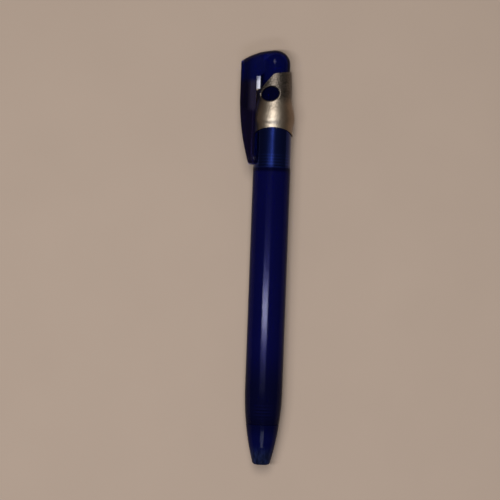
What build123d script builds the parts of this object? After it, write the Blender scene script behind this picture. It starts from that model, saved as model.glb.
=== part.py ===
from build123d import *

import math
import os

# Retractable push-action pen, in millimetres.
# Every piece is drawn upright, with the pen's axis on Z, the nose end at zero and the clip towards -X.
# At the end the whole pen is laid down along Y, nose towards -Y, resting on the bulge of its collar.

# Barrel and nose
barrel_radius = 6.25
barrel_wall = 1.1
barrel_length = 100.6
front_wall = 0.85
bore_step = 1.0
seat_length = 16.0
seat_draft = 0.03
nose_length = 13.4
nose_end_radius = 2.75
nose_end_round = 1.0
ogive_length = 25.0
spigot_length = 7.0
seam_bevel = 0.15
tip_bore_length = 5.0

# Silver collar
collar_stand = 0.75
collar_bulge_rise = 0.7
collar_waist_wall = 0.8
collar_waist_rise = 8.5
collar_bore_rise = 6.4
collar_top_wall = 0.42
collar_rise = 17.1
collar_top_slope = 12.0
collar_hem_drop = 2.0
collar_overlap = 4.9
collar_lip = 0.2
collar_wall = 1.05
ledge_thickness = 1.0
arch_rise = 2.7
ramp_foot_x = -4.6
ramp_head_x = -0.4
ramp_foot_rise = 10.6
ramp_foot_round = 1.6
ramp_head_round = 1.2
window_length = 6.3
window_height = 4.7
window_tilt = 12.0
window_x = -1.6
window_rise = 8.9
window_flare = 0.5
window_round = 0.4
tongue_half_width = 1.5
tongue_thickness = 1.0
tongue_root = 0.3

# Guide sleeve
neck_length = 15.0
flange_thickness = 1.0
flange_inset = 0.05
bead_height = 0.2
bead_length = 0.6
rib_thickness = 0.55
rib_angle = 56.0
rib_bottom_rise = 5.0
tooth_slope = 30.0
cam_count = 4

# Plunger and rotor
cam_angle = 25.0
plunger_radius = 2.85
plunger_bore = 1.6
key_bottom_rise = 0.8
key_length = 9.0
rotor_bottom_rise = 2.5
rotor_top_rise = 10.0
rotor_stem_length = 4.0
wing_length = 3.5
index_overtravel = 0.6
socket_depth = 2.5
crown_teeth = 8
crown_depth = 0.9
crown_gap = 0.15

# Clip button
button_radius = 5.0
button_wall = 1.1
button_rise = 6.9
dome_radius = 4.7
boss_radius = 2.0
boss_shoulder_rise = 0.9
boss_length = 4.5
stroke = 4.0
stroke_clearance = 0.3
clip_stand = 4.4
clip_corner_drop = 3.9
clip_drop_below_collar = 9.4
clip_tip_stand = 1.65
clip_tip_round = 1.3
clip_bend_rise = 8.5
clip_half_width = 4.0
clip_tip_corner = 2.2
clip_edge_round = 0.8
clip_wall = 1.2
clip_side_wall = 1.0
clip_channel_end = 18.4
clip_gap = 0.3
nub_length = 2.2

# Refill and spring
refill_radius = 1.575
refill_bore = 1.05
refill_front = 13.5
ear_radius = 2.15
ear_width = 0.7
ear_length = 2.0
ear_height = 26.0
tip_radius = 1.15
tip_front = 1.15
tip_lip_radius = 0.5
tip_cone_length = 3.2
tip_shoulder_length = 2.0
tip_plug_length = 4.0
ball_radius = 0.4
ball_standout = 0.15
ink_length = 52.0
follower_length = 4.0
spring_wire = 0.4
spring_turns = 11
arcs_per_turn = 4

# Clearances
fit_clearance = 0.05
slide_clearance = 0.08
inner_clearance = 0.02
spring_clearance = 0.15
tip_clearance = 0.15

# Room that a cutting shape reaches past the piece it cuts
cut_margin = 2.0

# Heights along the pen
barrel_top = nose_length + barrel_length
neck_bottom = barrel_top - neck_length
flange_top = barrel_top + flange_thickness
ledge_top = flange_top + ledge_thickness
rim_top = ledge_top + bead_length
collar_bottom = barrel_top - collar_overlap
collar_top = barrel_top + collar_rise
skirt_bottom = rim_top + stroke + stroke_clearance
button_top = collar_top + button_rise
shoulder_height = button_top - dome_radius
boss_shoulder = collar_top + boss_shoulder_rise
clip_bottom = collar_bottom - clip_drop_below_collar
clip_bend = barrel_top + clip_bend_rise
nub_top = clip_bottom + nub_length
spigot_top = nose_length + spigot_length
rib_bottom = neck_bottom + rib_bottom_rise
rotor_bottom = neck_bottom + rotor_bottom_rise
rotor_top = neck_bottom + rotor_top_rise
wing_top = rib_bottom + stroke - index_overtravel
refill_end = rotor_bottom + socket_depth
crown_height = rotor_top + crown_gap

# Radii that follow from the fits
bore_radius = barrel_radius - barrel_wall
neck_radius = bore_radius - fit_clearance
seat_radius = barrel_radius + fit_clearance
groove_radius = plunger_radius + slide_clearance + rib_thickness
rib_radius = plunger_radius + slide_clearance
cam_radius = groove_radius - slide_clearance
button_bore = button_radius - button_wall
collar_bore = button_radius + slide_clearance
collar_radius = barrel_radius + collar_stand
collar_waist_radius = collar_bore + collar_waist_wall
collar_top_radius = collar_bore + collar_top_wall
clip_reach = collar_radius + clip_stand
clip_tip_reach = barrel_radius + clip_tip_stand
spring_mean_radius = refill_radius + spring_clearance + spring_wire / 2
spring_pocket = spring_mean_radius + spring_wire / 2 + spring_clearance
tip_bore = tip_radius + tip_clearance
well_radius = collar_radius + clip_gap
nub_radius = barrel_radius + clip_gap

# The ogive is one arc, tangent to the barrel, that the barrel's front and the nose share
ogive_drop = barrel_radius - nose_end_radius
ogive_arc = (ogive_length**2 + ogive_drop**2) / (2 * ogive_drop)

# The clip's roof and its lower bend are arcs too
roof_x = button_radius - dome_radius
roof_run = clip_reach + roof_x
roof_arc = (roof_run**2 + clip_corner_drop**2) / (2 * clip_corner_drop)
bend_run = clip_reach - clip_tip_reach
bend_length = clip_bend - clip_bottom
bend_arc = (bend_length**2 + bend_run**2) / (2 * bend_run)


def ogive_radius(height):
    """Outer radius of the nose and the barrel's front at a height."""
    return barrel_radius - ogive_arc + math.sqrt(ogive_arc**2 - (ogive_length - height) ** 2)


def side_face(outline):
    """Face from lines drawn in the side view, as distance from the axis and height."""
    return Plane.XZ * make_face(outline)


def front_plane(x, height):
    """Plane square to the X axis, with its own axes along Y and Z."""
    return Plane((x, 0, height), x_dir=(0, 1, 0), z_dir=(1, 0, 0))


def turned(outline):
    """Solid of revolution about the pen's axis."""
    return revolve(side_face(outline), Axis.Z)


def ogive_line(low, high):
    """Stretch of the ogive between two heights."""
    middle = (low + high) / 2
    points = [(ogive_radius(height), height) for height in (low, middle, high)]
    return ThreePointArc(*points)


def around(shape, count, offset_angle=0.0):
    """Copies of a shape spaced evenly about the pen's axis."""
    return [Rot(Z=offset_angle + 360 / count * index) * shape for index in range(count)]


def ring_sector(inner, outer, low, high, angle):
    """Block of a ring that spans an angle, centred on +X."""
    outline = Polyline((inner, low), (outer, low), (outer, high), (inner, high), close=True)
    return Rot(Z=-angle / 2) * revolve(side_face(outline), Axis.Z, revolution_arc=angle)


def slanted_block(height, slope, upper):
    """Large block above or below a plane that slants about the X axis through a height."""
    size = 8 * groove_radius
    side = Align.MIN if upper else Align.MAX
    return Pos(Z=height) * Rot(X=slope) * Box(size, size, size, align=(Align.CENTER, Align.CENTER, side))


def crown_notches(height, upper, offset_angle):
    """Face-tooth gaps about a height: pyramids that taper to the axis and open upwards or downwards."""
    reach = 2 * plunger_radius
    half_depth = crown_depth / 2 * reach / plunger_radius
    half_width = reach * math.tan(math.pi / crown_teeth)
    way = 1 if upper else -1
    mouth_height = 3 * half_depth * way
    triangle = Polyline(
        (-2 * half_width, mouth_height), (2 * half_width, mouth_height), (0, -half_depth * way), close=True
    )
    mouth = front_plane(reach, height) * make_face(triangle)
    notch = loft([Vertex(0, 0, height), mouth.face()])
    return around(notch, crown_teeth, offset_angle)


def collar_ramp_points(lift):
    """Corners of the collar's S-shaped upper edge, which climbs to its top at +X, raised by a lift."""
    reach = clip_reach + cut_margin
    foot = barrel_top + ramp_foot_rise + lift
    climb = math.tan(math.radians(collar_top_slope))
    head = collar_top + lift + climb * (ramp_head_x - collar_radius)
    end = collar_top + lift + climb * (reach - collar_radius)
    return [(-reach, foot), (ramp_foot_x, foot), (ramp_head_x, head), (reach, end)]


def ramp_region(lift, edge_height):
    """Block between the raised S-shaped edge and a level, as wide as the whole pen."""
    points = collar_ramp_points(lift)
    outline = Polyline(*points, (points[-1][0], edge_height), (points[0][0], edge_height), close=True)
    region = make_face(outline)
    foot = region.vertices().sort_by_distance(points[1])[0]
    region = fillet(foot, ramp_foot_round)
    head = region.vertices().sort_by_distance(points[2])[0]
    region = fillet(head, ramp_head_round)
    return extrude(Plane.XZ * region, clip_reach, both=True)


def build_nose_cone():
    seam_low = nose_length - seam_bevel
    outline = ogive_line(0, seam_low) + Polyline(
        (ogive_radius(seam_low), seam_low),
        (ogive_radius(nose_length) - seam_bevel, nose_length),
        (spigot_radius, nose_length),
        (spigot_radius, spigot_top),
        (spring_pocket, spigot_top),
        (spring_pocket, tip_bore_length),
        (tip_bore, tip_bore_length),
        (tip_bore, 0),
        (nose_end_radius, 0),
    )
    nose = turned(outline)
    end_edge = nose.edges().group_by(Axis.Z)[0].sort_by(SortBy.RADIUS)[-1]
    return fillet(end_edge, nose_end_round)


def build_barrel():
    bore_bottom = spigot_top + bore_step
    seam_high = nose_length + seam_bevel
    outline = ogive_line(seam_high, ogive_length) + Polyline(
        (barrel_radius, ogive_length),
        (barrel_radius, barrel_top - seat_length),
        (barrel_radius - seat_draft, barrel_top),
        (bore_radius, barrel_top),
        (bore_radius, bore_bottom + bore_step),
        (front_bore, bore_bottom),
        (front_bore, nose_length),
        (ogive_radius(nose_length) - seam_bevel, nose_length),
        (ogive_radius(seam_high), seam_high),
    )
    return turned(outline)


def build_guide_sleeve():
    flange_radius = seat_radius - flange_inset
    rim_radius = neck_radius
    outline = Polyline(
        (groove_radius, neck_bottom),
        (neck_radius, neck_bottom),
        (neck_radius, barrel_top),
        (flange_radius, barrel_top),
        (flange_radius, flange_top),
        (rim_radius, flange_top),
        (rim_radius, ledge_top + fit_clearance),
        (rim_radius + bead_height, ledge_top + bead_length / 2),
        (rim_radius, rim_top),
        (groove_radius, rim_top),
        close=True,
    )
    sleeve = turned(outline)
    rib_root = (groove_radius + neck_radius) / 2
    rib = ring_sector(rib_radius, rib_root, neck_bottom, rim_top, rib_angle)
    rib -= slanted_block(rib_bottom, tooth_slope, upper=False)
    return sleeve + around(rib, cam_count, 180 / cam_count)


def build_window(side):
    """Cutter for the flared oval window on one side of the collar."""
    near = button_radius / 2
    far = collar_radius + cut_margin
    flare = window_flare / (collar_radius - collar_bore)
    sections = []
    for distance in (near, far):
        growth = flare * (distance - collar_bore)
        oval = Ellipse(window_length / 2 + growth, window_height / 2 + growth)
        centre = (window_x, side * distance, barrel_top + window_rise)
        plane = Plane(centre, x_dir=(1, 0, 0), z_dir=(0, -1, 0))
        sections.append(plane * (Rot(Z=window_tilt) * oval))
    return loft(sections)


def on_window_rim(edge):
    """Whether an edge of the collar runs round a window on the outside."""
    points = [edge @ 0, edge @ 0.5, edge @ 1]
    half_length = window_length / 2 + window_flare
    half_height = window_height / 2 + 2 * window_flare
    outside = all(math.hypot(point.X, point.Y) > collar_bore + collar_top_wall / 2 for point in points)
    beside = all(abs(point.X - window_x) < half_length for point in points)
    level = all(abs(point.Z - barrel_top - window_rise) < half_height for point in points)
    return outside and beside and level


def build_tongue():
    """Rail of the collar that stands up inside the clip's root and keeps the button from turning."""
    low = barrel_top + ramp_foot_rise - tongue_root
    reach = collar_bore + tongue_thickness
    corner = (Align.MIN, Align.CENTER, Align.MIN)
    blank = Pos(-reach, 0, low) * Box(reach, 2 * tongue_half_width, collar_top - low, align=corner)
    return blank - Cylinder(collar_bore, 2 * button_top)


def ogee(start, end):
    """Two equal arcs that lead from one upright tangent to another."""
    middle = ((start[0] + end[0]) / 2, (start[1] + end[1]) / 2)
    first = TangentArc(start, middle, tangent=(0, end[1] - start[1]))
    return [first, TangentArc(middle, end, tangent=first % 1)]


def build_collar():
    bulge = (collar_radius, barrel_top + collar_bulge_rise)
    waist = (collar_waist_radius, barrel_top + collar_waist_rise)
    lip_radius = seat_radius + collar_lip
    hem = (lip_radius, barrel_top - collar_hem_drop)
    spare_top = collar_top + cut_margin
    flare = TangentArc(waist, (collar_top_radius, collar_top), tangent=(0, 1))
    inner_low = collar_radius - collar_wall
    inside = Polyline(
        (collar_top_radius, collar_top),
        (collar_top_radius, spare_top),
        (collar_bore, spare_top),
        (collar_bore, barrel_top + collar_bore_rise),
        (inner_low, ledge_top),
        (bore_radius, ledge_top),
        (bore_radius, flange_top),
        (seat_radius, flange_top),
        (seat_radius, collar_bottom),
        (lip_radius, collar_bottom),
    )
    skin = [Line((lip_radius, collar_bottom), hem), *ogee(hem, bulge), *ogee(bulge, waist), flare]
    collar = turned(Curve() + skin + inside)
    collar -= ramp_region(0, spare_top + cut_margin)
    collar += build_tongue()
    arch = Pos(Y=collar_bottom) * Ellipse(lip_radius, arch_rise)
    collar -= extrude(Plane.XZ * arch, clip_reach, both=True)
    collar -= [build_window(side) for side in (-1, 1)]
    return fillet([edge for edge in collar.edges() if on_window_rim(edge)], window_round)


def clip_roof(distance, inset):
    """Height of the clip's roof at a distance from the axis, drawn in by an inset."""
    centre = button_top - roof_arc
    return centre + math.sqrt((roof_arc - inset) ** 2 - (distance + roof_x) ** 2)


def clip_outline(inset, bottom):
    """Side view of the clip and its root down to a height, drawn in from the skin by an inset."""
    reach = clip_reach - inset
    bend_centre = bend_arc - clip_reach
    bend_inset = bend_arc - inset
    foot_x = bend_centre - math.sqrt(bend_inset**2 - (clip_bend - bottom) ** 2)
    roof = ThreePointArc(*[(-x, clip_roof(x, inset)) for x in (-roof_x, reach / 2, reach)])
    outer = Line(roof @ 1, (-reach, clip_bend))
    bend = TangentArc((-reach, clip_bend), (foot_x, bottom), tangent=(0, -1))
    close = Polyline((foot_x, bottom), (roof_x, bottom), roof @ 0)
    return roof + outer + bend + close


def build_clip_blank():
    """Solid form of the clip and its root, before it is hollowed."""
    side = make_face(clip_outline(0, clip_bottom))
    tip = side.vertices().sort_by_distance((-clip_tip_reach, clip_bottom))[0]
    side = fillet(tip, clip_tip_round)
    blank = extrude(Plane.XZ * side, clip_half_width, both=True)
    outer_edges = [
        edge
        for edge in blank.edges()
        if abs(edge.center().Y) > clip_half_width / 2 and edge.center().X < clip_tip_round - clip_tip_reach
    ]
    blank = fillet(outer_edges, clip_edge_round)
    front_height = button_top - clip_bottom + cut_margin
    front = Pos(Y=clip_bottom + front_height / 2) * Rectangle(2 * clip_half_width, front_height)
    front = fillet(front.vertices().group_by(Axis.Y)[0], clip_tip_corner)
    blank &= extrude(front_plane(0, 0) * front, clip_reach + cut_margin, both=True)
    crown_drop = dome_radius - math.sqrt(dome_radius**2 - (clip_half_width - roof_x) ** 2)
    rim = ThreePointArc(
        (-clip_half_width, roof_arc - crown_drop), (0, roof_arc), (clip_half_width, roof_arc - crown_drop)
    )
    outside = Polyline(
        rim @ 1,
        (clip_half_width, roof_arc + clip_reach),
        (-clip_half_width, roof_arc + clip_reach),
        rim @ 0,
    )
    roof_centre = button_top - roof_arc
    section = front_plane(roof_x, roof_centre) * make_face(rim + outside)
    roof_axis = Axis((roof_x, 0, roof_centre), (0, -1, 0))
    return blank - revolve(section, roof_axis, revolution_arc=90)


def build_clip_button():
    core = turned(
        Polyline((0, skirt_bottom), (button_radius, skirt_bottom), (button_radius, shoulder_height))
        + TangentArc((button_radius, shoulder_height), (roof_x, button_top), tangent=(0, 1))
        + Polyline((roof_x, button_top), (0, button_top), (0, skirt_bottom))
    )
    low = clip_bottom - cut_margin
    high = button_top + cut_margin
    well = turned(
        Polyline(
            (0, low),
            (nub_radius, low),
            (nub_radius, nub_top),
            (well_radius, nub_top + well_radius - nub_radius),
            (well_radius, high),
            (button_radius, high),
            (button_radius, skirt_bottom),
            (0, skirt_bottom),
            close=True,
        )
    )
    well &= ramp_region(stroke + stroke_clearance, low - cut_margin)
    channel_bottom = clip_bottom + clip_channel_end
    channel = extrude(
        Plane.XZ * make_face(clip_outline(clip_wall, channel_bottom)),
        clip_half_width - clip_side_wall,
        both=True,
    )
    channel -= Cylinder(button_radius, 2 * button_top)
    inner_dome = dome_radius - button_wall
    cavity = turned(
        Polyline((0, skirt_bottom - cut_margin), (button_bore, skirt_bottom - cut_margin))
        + Line((button_bore, skirt_bottom - cut_margin), (button_bore, shoulder_height))
        + TangentArc(
            (button_bore, shoulder_height), (roof_x, shoulder_height + inner_dome), tangent=(0, 1)
        )
        + Polyline(
            (roof_x, shoulder_height + inner_dome),
            (0, shoulder_height + inner_dome),
            (0, skirt_bottom - cut_margin),
        )
    )
    ceiling = shoulder_height + inner_dome + button_wall / 2
    boss = turned(
        Polyline(
            (0, boss_shoulder - boss_length),
            (boss_radius, boss_shoulder - boss_length),
            (boss_radius, boss_shoulder),
            (plunger_radius, boss_shoulder),
            (plunger_radius, shoulder_height),
            (boss_radius, ceiling),
            (0, ceiling),
            close=True,
        )
    )
    return (core + build_clip_blank() - well - channel - cavity) + boss


def build_plunger():
    socket_radius = boss_radius + fit_clearance
    socket_bottom = boss_shoulder - boss_length - inner_clearance
    body = turned(
        Polyline(
            (plunger_bore, crown_height - crown_depth / 2),
            (plunger_radius, crown_height - crown_depth / 2),
            (plunger_radius, boss_shoulder),
            (socket_radius, boss_shoulder),
            (socket_radius, socket_bottom),
            (plunger_bore, socket_bottom),
            close=True,
        )
    )
    body -= crown_notches(crown_height, upper=False, offset_angle=180 / crown_teeth)
    key_bottom = crown_height + key_bottom_rise
    key_root = (plunger_bore + plunger_radius) / 2
    key = ring_sector(key_root, cam_radius, key_bottom, key_bottom + key_length, cam_angle)
    return body + around(key, cam_count)


def build_rotor():
    stem_radius = plunger_bore - slide_clearance
    socket_radius = refill_radius + fit_clearance
    body = turned(
        Polyline(
            (0, refill_end),
            (socket_radius, refill_end),
            (socket_radius, rotor_bottom),
            (plunger_radius, rotor_bottom),
            (plunger_radius, rotor_top + crown_depth / 2),
            (0, rotor_top + crown_depth / 2),
            close=True,
        )
    )
    body -= crown_notches(rotor_top, upper=True, offset_angle=0)
    stem_low = rotor_top - crown_depth
    body += Pos(Z=stem_low) * Cylinder(
        stem_radius,
        rotor_top + rotor_stem_length - stem_low,
        align=(Align.CENTER, Align.CENTER, Align.MIN),
    )
    wing_root = (socket_radius + plunger_radius) / 2
    wing = ring_sector(wing_root, cam_radius, wing_top - wing_length, wing_top + stroke, cam_angle)
    wing -= slanted_block(wing_top, tooth_slope, upper=True)
    return body + around(wing, cam_count)


def build_refill_tube():
    tube = turned(
        Polyline(
            (refill_bore, refill_front),
            (refill_radius, refill_front),
            (refill_radius, refill_end),
            (refill_bore, refill_end),
            close=True,
        )
    )
    ears = Pos(Z=ear_height) * Cylinder(ear_radius, ear_length, align=(Align.CENTER, Align.CENTER, Align.MIN))
    ears &= Pos(Z=ear_height) * Box(
        2 * ear_radius, ear_width, 2 * ear_length, align=(Align.CENTER, Align.CENTER, Align.CENTER)
    )
    ears -= Cylinder((refill_bore + refill_radius) / 2, 2 * refill_end)
    return tube + ears


def build_refill_tip():
    shoulder_low = refill_front - tip_shoulder_length
    cone_top = shoulder_low + refill_radius - tip_radius
    plug_radius = refill_bore - inner_clearance
    tip = turned(
        Polyline(
            (0, tip_front),
            (tip_lip_radius, tip_front),
            (tip_radius, tip_front + tip_cone_length),
            (tip_radius, shoulder_low),
            (refill_radius, cone_top),
            (refill_radius, refill_front),
            (plug_radius, refill_front),
            (plug_radius, refill_front + tip_plug_length),
            (0, refill_front + tip_plug_length),
            close=True,
        )
    )
    return tip - Pos(Z=ball_height) * Sphere(ball_radius + inner_clearance)


def build_rod(low, length):
    """Filling of the refill tube from a height upwards."""
    return Pos(Z=low) * Cylinder(
        refill_bore - inner_clearance, length, align=(Align.CENTER, Align.CENTER, Align.MIN)
    )


def spring_point(turn):
    """Point on the spring's centre line after a number of turns."""
    angle = 2 * math.pi * turn
    height = spring_low + spring_pitch * turn
    return Vector(spring_mean_radius * math.cos(angle), spring_mean_radius * math.sin(angle), height)


def spring_tangent(turn):
    """Direction of the spring's centre line after a number of turns."""
    angle = 2 * math.pi * turn
    across = 2 * math.pi * spring_mean_radius
    return Vector(-across * math.sin(angle), across * math.cos(angle), spring_pitch).normalized()


def biarc(start, end):
    """Two tangent arcs that follow the spring's centre line between two turns."""
    first, last = spring_point(start), spring_point(end)
    leaving, arriving = spring_tangent(start), spring_tangent(end)
    chord = last - first
    both = leaving + arriving
    spread = 2 * (1 - leaving.dot(arriving))
    lean = chord.dot(both)
    reach = (math.sqrt(lean**2 + spread * chord.dot(chord)) - lean) / spread
    control_a = first + leaving * reach
    control_b = last - arriving * reach
    middle = (control_a + control_b) * 0.5
    return [
        TangentArc(first, middle, tangent=leaving),
        TangentArc(middle, last, tangent=control_b - control_a),
    ]


def build_return_spring():
    arcs = []
    for index in range(spring_turns * arcs_per_turn):
        arcs += biarc(index / arcs_per_turn, (index + 1) / arcs_per_turn)
    path = Wire(arcs)
    start = Plane(origin=path @ 0, z_dir=spring_tangent(0))
    return sweep(start * Circle(spring_wire / 2), path=path)


def spring_self_gap():
    """Least gap between neighbouring turns of the spring, measured on points of its centre line."""
    steps = 48
    points = [spring_point(index / steps) for index in range(steps * spring_turns + 1)]
    gap = math.inf
    for index, point in enumerate(points):
        for other in points[index + steps // 2 :]:
            gap = min(gap, (other - point).length)
    return gap - spring_wire


def laid_down(shape):
    """Turn a piece from upright to lying along Y, on the ground and centred on the pen's box."""
    side_shift = (clip_reach - collar_radius) / 2
    return Pos(side_shift, -button_top / 2, collar_radius) * Rot(X=-90) * shape


# Fits of the nose, the refill's point and the spring
front_bore = ogive_radius(nose_length) - front_wall
spigot_radius = front_bore - fit_clearance
ball_height = tip_front + ball_radius - ball_standout
ink_low = refill_front + tip_plug_length + inner_clearance
follower_low = ink_low + ink_length + inner_clearance
spring_low = tip_bore_length + spring_wire / 2
spring_pitch = (ear_height - tip_bore_length - spring_wire) / spring_turns

pieces = {
    "barrel": build_barrel(),
    "nose_cone": build_nose_cone(),
    "collar": build_collar(),
    "guide_sleeve": build_guide_sleeve(),
    "clip_button": build_clip_button(),
    "plunger": build_plunger(),
    "rotor": build_rotor(),
    "refill_tube": build_refill_tube(),
    "refill_ink": build_rod(ink_low, ink_length),
    "ink_follower": build_rod(follower_low, follower_length),
    "refill_tip": build_refill_tip(),
    "tip_ball": Pos(Z=ball_height) * Sphere(ball_radius),
    "return_spring": build_return_spring(),
}

print(f"least gap between spring turns: {spring_self_gap():.2f} mm")

os.makedirs("parts", exist_ok=True)
for name, piece in pieces.items():
    export_step(laid_down(piece), f"parts/{name}.step")
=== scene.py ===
"""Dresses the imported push-action pen with its visible pieces, its finishes and a stage.

The barrel is frosted, the nose and the clip button are polished, and the collar is satin.
"""

import math

import bmesh
import bpy
from bpy.props import FloatProperty, FloatVectorProperty, IntProperty, PointerProperty
from mathutils import Matrix, Quaternion, Vector


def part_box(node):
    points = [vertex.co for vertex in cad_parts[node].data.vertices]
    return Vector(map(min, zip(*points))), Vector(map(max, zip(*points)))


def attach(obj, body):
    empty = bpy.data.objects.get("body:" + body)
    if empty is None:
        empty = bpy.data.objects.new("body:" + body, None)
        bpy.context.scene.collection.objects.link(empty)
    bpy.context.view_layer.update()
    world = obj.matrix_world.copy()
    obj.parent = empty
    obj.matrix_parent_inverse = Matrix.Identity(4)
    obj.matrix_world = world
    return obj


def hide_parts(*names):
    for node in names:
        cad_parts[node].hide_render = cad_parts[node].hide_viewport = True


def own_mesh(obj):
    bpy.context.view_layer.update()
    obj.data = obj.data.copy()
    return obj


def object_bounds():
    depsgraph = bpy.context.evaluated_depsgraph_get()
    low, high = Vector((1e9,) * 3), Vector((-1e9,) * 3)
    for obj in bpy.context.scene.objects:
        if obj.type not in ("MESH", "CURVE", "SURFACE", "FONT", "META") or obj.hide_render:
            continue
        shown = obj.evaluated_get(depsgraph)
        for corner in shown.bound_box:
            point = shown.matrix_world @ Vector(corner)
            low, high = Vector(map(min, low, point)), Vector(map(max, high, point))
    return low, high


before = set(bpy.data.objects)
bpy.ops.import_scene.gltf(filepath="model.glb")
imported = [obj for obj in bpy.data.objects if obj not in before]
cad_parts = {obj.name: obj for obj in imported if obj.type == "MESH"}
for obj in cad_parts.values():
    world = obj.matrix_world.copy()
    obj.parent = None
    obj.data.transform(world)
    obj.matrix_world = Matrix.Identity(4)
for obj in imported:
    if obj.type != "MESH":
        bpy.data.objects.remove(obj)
cad_low, cad_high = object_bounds()

bl_info = {
    "name": "Push-action pen",
    "version": (1, 0, 0),
    "blender": (4, 5, 0),
    "location": "View3D > Sidebar > Pen",
    "description": "Builds the visible pieces and finishes of a push-action pen round its packed solids",
    "category": "Add Mesh",
}

MM = 0.001

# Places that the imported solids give
barrel_low, barrel_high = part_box("barrel")
nose_low, nose_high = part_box("nose_cone")
sleeve_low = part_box("guide_sleeve")[0]
collar_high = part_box("collar")[1]
spring_low, spring_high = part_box("return_spring")
AXIS_X = (barrel_low.x + barrel_high.x) / 2
AXIS_Z = (barrel_low.z + barrel_high.z) / 2
NOSE_Y = nose_low.y
BARREL_RADIUS = (barrel_high.z - barrel_low.z) / 2

# Fine sizes of the turned pieces
TAPER_LENGTH = 16.0 * MM
TAPER_SLOPE = 0.0015
TIP_CHAMFER = 0.12 * MM
SPIGOT_CHAMFER = 0.3 * MM
POCKET_CHAMFER = 0.2 * MM
NOSE_THREAD_MARGIN = 1.0 * MM
SLEEVE_THREAD_START = 0.6 * MM
SLEEVE_THREAD_END = 1.0 * MM

# Facets along the outlines and round the thread ridges
OGIVE_STEPS = 28
STRAIGHT_STEPS = 24
NOSE_STEPS = 20
ROUND_STEPS = 8
RIDGE_SIDES = 8
RIDGE_STEPS = 64
SMOOTH_ANGLE = math.radians(32)
HELIX_TREE = "wound_wire"

# Tolerances for finding the neck in the guide sleeve's mesh
MERGE_DISTANCE = 0.001 * MM
HEIGHT_TOLERANCE = 0.01 * MM
RADIUS_TOLERANCE = 0.03 * MM

# Stage
FLOOR_HALF = 10.0
SENSOR_WIDTH = 36.0
NEAREST_VIEW = 10.0 * MM


def length_property(name, description, default):
    """Length in metres."""
    return FloatProperty(name=name, description=description, default=default, unit="LENGTH", precision=5)


def angle_property(name, description, degrees):
    """Angle whose default is given in degrees."""
    return FloatProperty(name=name, description=description, default=math.radians(degrees), unit="ROTATION")


def share_property(name, description, default):
    """Share from 0 to 1."""
    return FloatProperty(name=name, description=description, default=default, subtype="FACTOR")


def colour_property(name, description, default):
    """Linear colour."""
    return FloatVectorProperty(
        name=name, description=description, default=default, subtype="COLOR", size=3, min=0.0, max=1.0
    )


class PenBarrelSettings(bpy.types.PropertyGroup):
    """Sizes and looks of the barrel"""

    radius: length_property("Radius", "Outer radius of the straight barrel", BARREL_RADIUS)
    bore: length_property("Bore", "Inner radius of the barrel", BARREL_RADIUS - 1.1 * MM)
    ogive: length_property("Ogive", "Length over which the front draws in", 25.0 * MM)
    front_bore: length_property("Front bore", "Inner radius where the nose screws in", 4.66 * MM)
    step: length_property("Step", "Length of the slope between the two bores", 1.0 * MM)
    seam: length_property("Seam", "Bevel at the seam with the nose", 0.15 * MM)
    segments: IntProperty(name="Segments", description="Facets round turned pieces", default=128, min=24)
    tint: colour_property("Tint", "Colour of light that has passed the wall", (0.006, 0.007, 0.11))
    front: colour_property("Front", "Colour over the thread of the nose", (0.0045, 0.0055, 0.052))
    neck: colour_property("Neck", "Colour of the bright sleeve seen through the wall", (0.015, 0.028, 0.17))
    front_pitch: length_property("Front pitch", "Spacing of the rings over the nose's thread", 1.05 * MM)
    neck_pitch: length_property("Neck pitch", "Spacing of the rings seen over the sleeve", 1.0 * MM)
    gleam: share_property("Gleam", "Share of the bright sleeve", 0.88)
    frosting: share_property("Frosting", "Least haze of the plastic", 0.12)
    satin: share_property("Satin", "Roughness of the skin", 0.11)
    clearness: share_property("Clearness", "Share of light let through", 0.7)


class PenNoseSettings(bpy.types.PropertyGroup):
    """Sizes and looks of the nose"""

    end_radius: length_property("End radius", "Radius of the open front end", 2.75 * MM)
    end_round: length_property("End round", "Rounding of the front end", 1.0 * MM)
    tip_bore: length_property("Tip bore", "Radius of the hole that the point leaves through", 1.3 * MM)
    tip_length: length_property("Tip length", "Length of that hole", 5.0 * MM)
    pocket: length_property("Pocket", "Radius of the pocket for the spring", 2.275 * MM)
    spigot: length_property("Spigot", "Radius over the thread that goes into the barrel", 4.61 * MM)
    thread_depth: length_property("Thread depth", "Height of the thread", 0.22 * MM)
    thread_pitch: length_property("Thread pitch", "Rise of the thread in one turn", 1.25 * MM)
    tint: colour_property("Tint", "Colour of light that has passed the wall", (0.003, 0.005, 0.075))
    haze: colour_property("Haze", "Colour of the hazy front end", (0.015, 0.024, 0.085))
    clearness: share_property("Clearness", "Share of light let through", 0.6)
    roughness: share_property("Roughness", "Least roughness of the plastic", 0.26)
    polish: share_property("Polish", "Roughness of the skin", 0.08)


class PenSleeveSettings(bpy.types.PropertyGroup):
    """Sizes of the guide sleeve's neck"""

    neck: length_property("Neck", "Radius over the thread of the neck", BARREL_RADIUS - 1.15 * MM)
    neck_length: length_property("Neck length", "Length of the neck inside the barrel", 15.0 * MM)
    thread_depth: length_property("Thread depth", "Height of the thread", 0.22 * MM)
    thread_pitch: length_property("Thread pitch", "Rise of the thread in one turn", 1.0 * MM)


class PenCollarSettings(bpy.types.PropertyGroup):
    """Looks of the collar"""

    silver: colour_property("Silver", "Colour of the metallised skin", (0.38, 0.325, 0.26))
    # Painted shade: the skin's colour on the collar's sides, darker as the light falls
    shaded_sides: colour_property("Flank", "Colour of the skin at the sides", (0.255, 0.19, 0.135))
    # Painted shade: the darker skin above the windows, where the light falls away
    upper: colour_property("Upper", "Colour of the skin above the windows", (0.11, 0.092, 0.078))
    # Painted highlight: the rail is coloured pale and left matt to show the light it catches
    rail_highlight: colour_property("Rail", "Colour of the matt rail", (0.56, 0.57, 0.68))
    rail_drop: length_property("Rail drop", "From the collar's top down to the foot of its rail", 6.3 * MM)
    roughness: share_property("Satin", "Least roughness of the skin", 0.35)


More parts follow.
